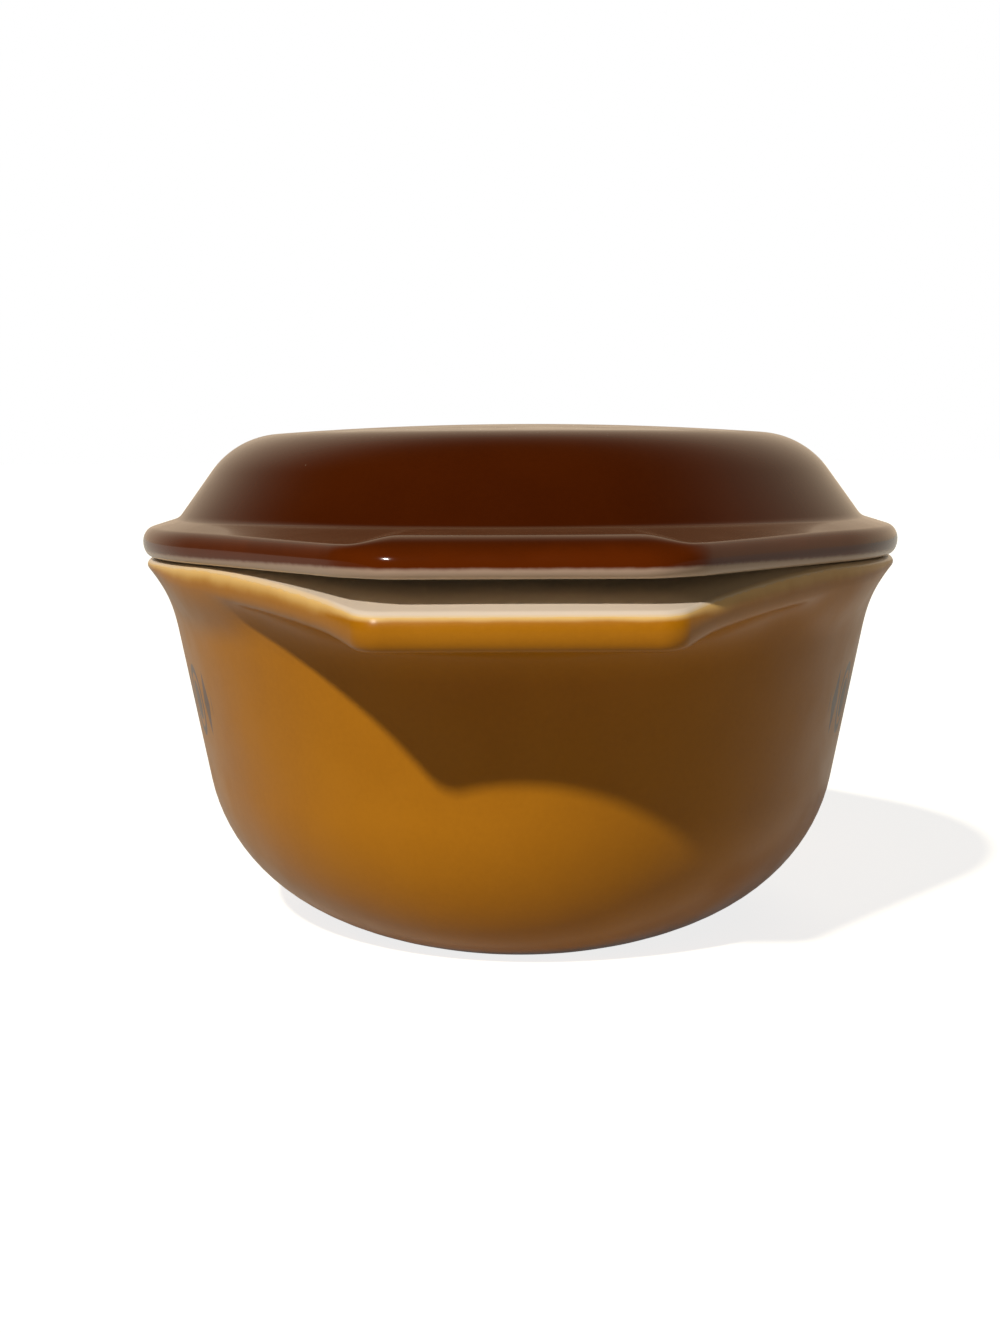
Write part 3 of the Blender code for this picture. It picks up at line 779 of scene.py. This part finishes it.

# %% [markdown]
# ## Two enamelled finishes
#
# Both finishes are one recipe with other values: bare opal glass where the coat is missing, and the coat's
# colour where it covers. A simple way would be two materials with faces assigned to each, but then the paint
# edge would follow the mesh's edges. One material with a mask has no such steps. Gloss and reflections come
# from the shader's own settings, apart from a painted sheen that is mixed into the colour.
#
# Level surfaces below the crown get a pale layer mixed into their colour. It is a painted sheen that stands
# for the grey which grazing reflections give the flange, and the crown is left out. It is drawn like a thin
# layer that hardly shows from above and plainly at a slant, because the eye looks through more of it. Of its
# full strength, 1 less e to the power of minus its depth over the cosine of the slant is seen.

# %% Recipe for enamel on opal glass
OPAL = (0.75, 0.65, 0.535, 1)
OPAL_ROUGHNESS = 0.16
SMEAR_DULLING = 0.06            # roughness that smears add
PAINTED_SHEEN_MOST = 0.90                  # most of the colour that the painted sheen can hide
PAINTED_SHEEN_DEPTH = 0.11               # so that it hides about a tenth, seen straight on
LEVEL_FROM, LEVEL_TO = 0.85, 0.98                             # upward part of the normal, sloping to level
SHEEN_FADE_FROM, SHEEN_FADE_TO = 92 * MM, 100 * MM                      # heights between which the painted sheen fades out below the crown
EDGE_ON = 0.001                 # least cosine of the slant, so that nothing is divided by 0
SHEEN_SPREAD = 0.4
SHEEN_TONE = (1.0, 0.72, 0.45, 1)
INK, INK_CLOUD = 0.7, 0.2       # how much the print hides, and how much more where the coat is cloudy


def painted_sheen_mask(tree, height):
    """Mask of the painted sheen: level, below the crown, and denser the more slanted the view."""
    upward = tree.nodes.new("ShaderNodeSeparateXYZ")
    feed(tree, tree.nodes.new("ShaderNodeNewGeometry").outputs["Normal"], upward.inputs["Vector"])
    level = calc(tree, "MULTIPLY", ramp(tree, upward.outputs["Z"], LEVEL_FROM, LEVEL_TO), PAINTED_SHEEN_MOST)
    below_crown = calc(tree, "MULTIPLY", level, ramp(tree, height, SHEEN_FADE_TO, SHEEN_FADE_FROM))
    slant = tree.nodes.new("ShaderNodeLayerWeight").outputs["Facing"]
    cosine = calc(tree, "SUBTRACT", 1 + EDGE_ON, slant)
    clear = calc(tree, "EXPONENT", calc(tree, "DIVIDE", -PAINTED_SHEEN_DEPTH, cosine))
    return calc(tree, "MULTIPLY", below_crown, calc(tree, "SUBTRACT", 1.0, clear))


def enamel_on_glass(name, colours, coating):
    """Material of one piece: opal glass under a sprayed coat of thin, usual and deep tone."""
    material = bpy.data.materials.new(name)
    material.use_nodes = True
    tree = material.node_tree
    shader = tree.nodes["Principled BSDF"]
    place = tree.nodes.new("ShaderNodeTexCoord").outputs["Object"]
    split = tree.nodes.new("ShaderNodeSeparateXYZ")
    feed(tree, place, split.inputs["Vector"])
    height = split.outputs["Z"]

    distance = tree.nodes.new("ShaderNodeAttribute")
    distance.attribute_name = "inside_paint"
    coat = place_group(
        tree, sprayed, Place=place, Inside=distance.outputs["Fac"], Wander=coating["wander"],
        Soft=coating["soft"], Thin=coating["thin"], Stray=coating["stray"])
    surface = place_group(tree, fired, Place=place, Cover=coat["Cover"])

    tone = mix(tree, coat["Cloud"], colours["usual"], colours["deep"])
    # on the dish, the pale thin edge is partly the coat's lighter tone and partly a painted highlight
    tone = mix(tree, coat["Depth"], colours["thin"], tone)
    tone = mix(tree, coat["Dust"], tone, colours["dust"])
    # painted sheen: a pale layer on level surfaces below the crown, stronger at a slant
    tone = mix(tree, painted_sheen_mask(tree, height), tone, colours["painted_grazing_sheen"])
    if "print" in colours:
        along = tree.nodes.new("ShaderNodeAttribute")
        along.attribute_name = "along_side"
        band = printed_band(tree, along.outputs["Fac"], height)
        density = calc(tree, "MULTIPLY_ADD", coat["Cloud"], INK_CLOUD, INK)
        tone = mix(tree, calc(tree, "MULTIPLY", band, density), tone, colours["print"])
    # on the lid this tint is painted shade over the white strip under its edge
    glass = mix(tree, coat["Mist"], OPAL, colours["mist"])
    feed(tree, mix(tree, coat["Cover"], glass, tone), shader.inputs["Base Color"])

    smeared = calc(tree, "MULTIPLY_ADD", surface["Smear"], SMEAR_DULLING, coating["roughness"])
    rough = tree.nodes.new("ShaderNodeMix")
    feed(tree, coat["Cover"], rough.inputs["Factor"])
    rough.inputs["A"].default_value = OPAL_ROUGHNESS
    feed(tree, smeared, rough.inputs["B"])
    feed(tree, rough.outputs["Result"], shader.inputs["Roughness"])

    bump = tree.nodes.new("ShaderNodeBump")
    bump.inputs["Distance"].default_value = 1.0
    feed(tree, surface["Height"], bump.inputs["Height"])
    feed(tree, bump.outputs["Normal"], shader.inputs["Normal"])
    shader.inputs["Specular IOR Level"].default_value = coating["specular"]
    shader.inputs["Sheen Weight"].default_value = coating["sheen"]
    shader.inputs["Sheen Roughness"].default_value = SHEEN_SPREAD
    shader.inputs["Sheen Tint"].default_value = SHEEN_TONE
    print("material:", name, "with", len(tree.nodes), "nodes")
    return material


# %% [markdown]
# ## Amber and brown
#
# The colours are linear values, as Blender's sockets take them. The dish was sprayed with a sharp edge and
# has a satin gloss. The lid shines more, and its coat fades in over several millimetres. The white strip
# below it is tinted darker as if by stray mist, which is painted shade.

# %% Amber dish and brown lid
AMBER = {
    "usual": (0.465, 0.183, 0.0055, 1),
    "deep": (0.415, 0.159, 0.0042, 1),
    # partly the thin coat's lighter tone, partly a painted highlight along the top edge of each tab
    "thin": (0.80, 0.52, 0.18, 1),
    "mist": (0.80, 0.60, 0.34, 1),
    "dust": (0.32, 0.13, 0.03, 1),
    # colour of the painted sheen on level surfaces seen at a slant
    "painted_grazing_sheen": (0.52, 0.22, 0.03, 1),
    "print": (0.050, 0.062, 0.088, 1),
}
AMBER_COAT = {
    "roughness": 0.29,
    "specular": 0.18,
    "sheen": 0.0,
    "wander": 0.4 * MM,
    "soft": 0.1 * MM,
    "thin": 1.2 * MM,
    "stray": 0.8 * MM,
}
BROWN = {
    "usual": (0.062, 0.0104, 0.0006, 1),
    "deep": (0.053, 0.0084, 0.0005, 1),
    "thin": (0.110, 0.0180, 0.0008, 1),
    # painted shade: this darkens the whole white strip under the lid's edge, given as stray mist
    "mist": (0.47, 0.335, 0.26, 1),
    "dust": (0.16, 0.10, 0.065, 1),
    # colour of the painted sheen on level surfaces seen at a slant
    "painted_grazing_sheen": (0.215, 0.110, 0.056, 1),
}
BROWN_COAT = {
    "roughness": 0.08,
    "specular": 0.10,
    "sheen": 0.05,
    "wander": 0.35 * MM,
    "soft": 0.5 * MM,
    "thin": 8 * MM,
    # far enough that the painted shade covers the whole white strip
    "stray": 5 * MM,
}
dish.data.materials.append(enamel_on_glass("amber_on_opal", AMBER, AMBER_COAT))
lid.data.materials.append(enamel_on_glass("brown_on_opal", BROWN, BROWN_COAT))

# %% [markdown]
# ## Stage and light
#
# The stage is a plain pale floor that runs out to the horizon. The main lamp stands at the upper left, in
# front, so that the tab's shadow falls across the body. An area lamp would light the floor in a pool. A lamp
# of the sun kind lights it evenly to the horizon, and its angle of a few degrees keeps its shadows from being
# hard. A weaker and wider one behind the dish keeps the back from going dark, and stays out of reflections.
#
# The background has to be white without more light on the dish, so the floor and the world show white to the
# camera. The dish is lit by a dim studio instead, and mirrors a share of the white: a little of the floor,
# and a pale wall behind the dish.

# %% Floor
FLOOR_REACH = 30.0
FLOOR_TONE = (0.47, 0.45, 0.37, 1)
FLOOR_LIFT = 0.82               # white added for the camera
FLOOR_MIRRORED = 0.22           # white added for what mirrors the floor

corners = np.array([[-1, -1, 0], [1, -1, 0], [1, 1, 0], [-1, 1, 0]]) * FLOOR_REACH
floor_mesh = bpy.data.meshes.new("floor")
floor_mesh.from_pydata(corners.tolist(), [], [[0, 1, 2, 3]])
floor_piece = bpy.data.objects.new("floor", floor_mesh)
bpy.context.scene.collection.objects.link(floor_piece)

pale = bpy.data.materials.new("pale_floor")
pale.use_nodes = True
tree = pale.node_tree
tree.nodes.clear()
matt = tree.nodes.new("ShaderNodeBsdfDiffuse")
matt.inputs["Color"].default_value = FLOOR_TONE
rays = tree.nodes.new("ShaderNodeLightPath").outputs
glow = tree.nodes.new("ShaderNodeEmission")
seen = calc(tree, "MAXIMUM", rays["Is Camera Ray"], rays["Is Transmission Ray"])
lift = calc(tree, "MULTIPLY", seen, FLOOR_LIFT)
mirrored = calc(tree, "MULTIPLY", rays["Is Glossy Ray"], FLOOR_MIRRORED)
feed(tree, calc(tree, "MAXIMUM", lift, mirrored), glow.inputs["Strength"])
both = tree.nodes.new("ShaderNodeAddShader")
feed(tree, matt.outputs["BSDF"], both.inputs[0])
feed(tree, glow.outputs["Emission"], both.inputs[1])
output = tree.nodes.new("ShaderNodeOutputMaterial")
feed(tree, both.outputs["Shader"], output.inputs["Surface"])
floor_mesh.materials.append(pale)
print("floor:", round(2 * FLOOR_REACH), "m wide")

# %% Lamps
LAMP_COLOUR = (1.0, 0.94, 0.86)
KEY_FROM, KEY_STRENGTH, KEY_ANGLE = Vector((-0.307, -0.689, 0.656)), 3.2, math.radians(3)
FILL_FROM, FILL_STRENGTH, FILL_ANGLE = Vector((0.0, 0.97, 0.22)), 1.1, math.radians(25)


def sun(name, source, strength, angle):
    """Lamp of the sun kind, turned so that it shines from the source's direction on the origin."""
    lamp = bpy.data.lights.new(name, "SUN")
    lamp.energy = strength
    lamp.angle = angle
    lamp.color = LAMP_COLOUR
    holder = bpy.data.objects.new(name, lamp)
    holder.rotation_euler = (-source).to_track_quat("-Z", "Y").to_euler()
    holder.location = source
    bpy.context.scene.collection.objects.link(holder)
    print("lamp:", name, "of strength", strength)
    return holder


sun("soft_key", KEY_FROM, KEY_STRENGTH, KEY_ANGLE)
back_fill = sun("back_fill", FILL_FROM, FILL_STRENGTH, FILL_ANGLE)
back_fill.visible_glossy = False

# %% World
STUDIO_FRONT = 0.02             # brightness of the dark side of the studio
STUDIO_BACK = 0.05              # light that the wall behind the dish adds
BACK_MIRRORED = 0.68            # brightness of the same wall for what mirrors it
STUDIO_TINT = (1.0, 0.79, 0.57, 1)
WALL_SIDE = (0.35, 0.9, 0.25)   # from the dish towards the middle of that wall
WALL_FADE = (0.1, 0.75)         # cosines from the wall's edge to its full brightness
WALL_TOP = (0.5, 1.05)          # upward parts of a direction between which the wall ends

world = bpy.data.worlds.new("studio")
bpy.context.scene.world = world
world.use_nodes = True
tree = world.node_tree
tree.nodes.clear()
outward = tree.nodes.new("ShaderNodeTexCoord").outputs["Generated"]
facing = tree.nodes.new("ShaderNodeVectorMath")
facing.operation = "DOT_PRODUCT"
feed(tree, outward, facing.inputs[0])
feed(tree, WALL_SIDE, facing.inputs[1])
height = tree.nodes.new("ShaderNodeSeparateXYZ")
feed(tree, outward, height.inputs["Vector"])
behind = ramp(tree, facing.outputs["Value"], *WALL_FADE)
low = calc(tree, "SUBTRACT", 1.0, ramp(tree, height.outputs["Z"], *WALL_TOP))
wall = calc(tree, "MULTIPLY", behind, low)
rays = tree.nodes.new("ShaderNodeLightPath").outputs
back = calc(tree, "MULTIPLY_ADD", rays["Is Glossy Ray"], BACK_MIRRORED - STUDIO_BACK, STUDIO_BACK)
dim = calc(tree, "ADD", calc(tree, "MULTIPLY", wall, back), STUDIO_FRONT)

seen = calc(tree, "MAXIMUM", rays["Is Camera Ray"], rays["Is Transmission Ray"])
studio = tree.nodes.new("ShaderNodeBackground")
feed(tree, calc(tree, "MAXIMUM", seen, dim), studio.inputs["Strength"])
feed(tree, mix(tree, seen, STUDIO_TINT, (1, 1, 1, 1)), studio.inputs["Color"])
output = tree.nodes.new("ShaderNodeOutputWorld")
feed(tree, studio.outputs["Background"], output.inputs["Surface"])
print("world:", len(tree.nodes), "nodes")

# %% Colours as written
bpy.context.scene.view_settings.view_transform = "Standard"
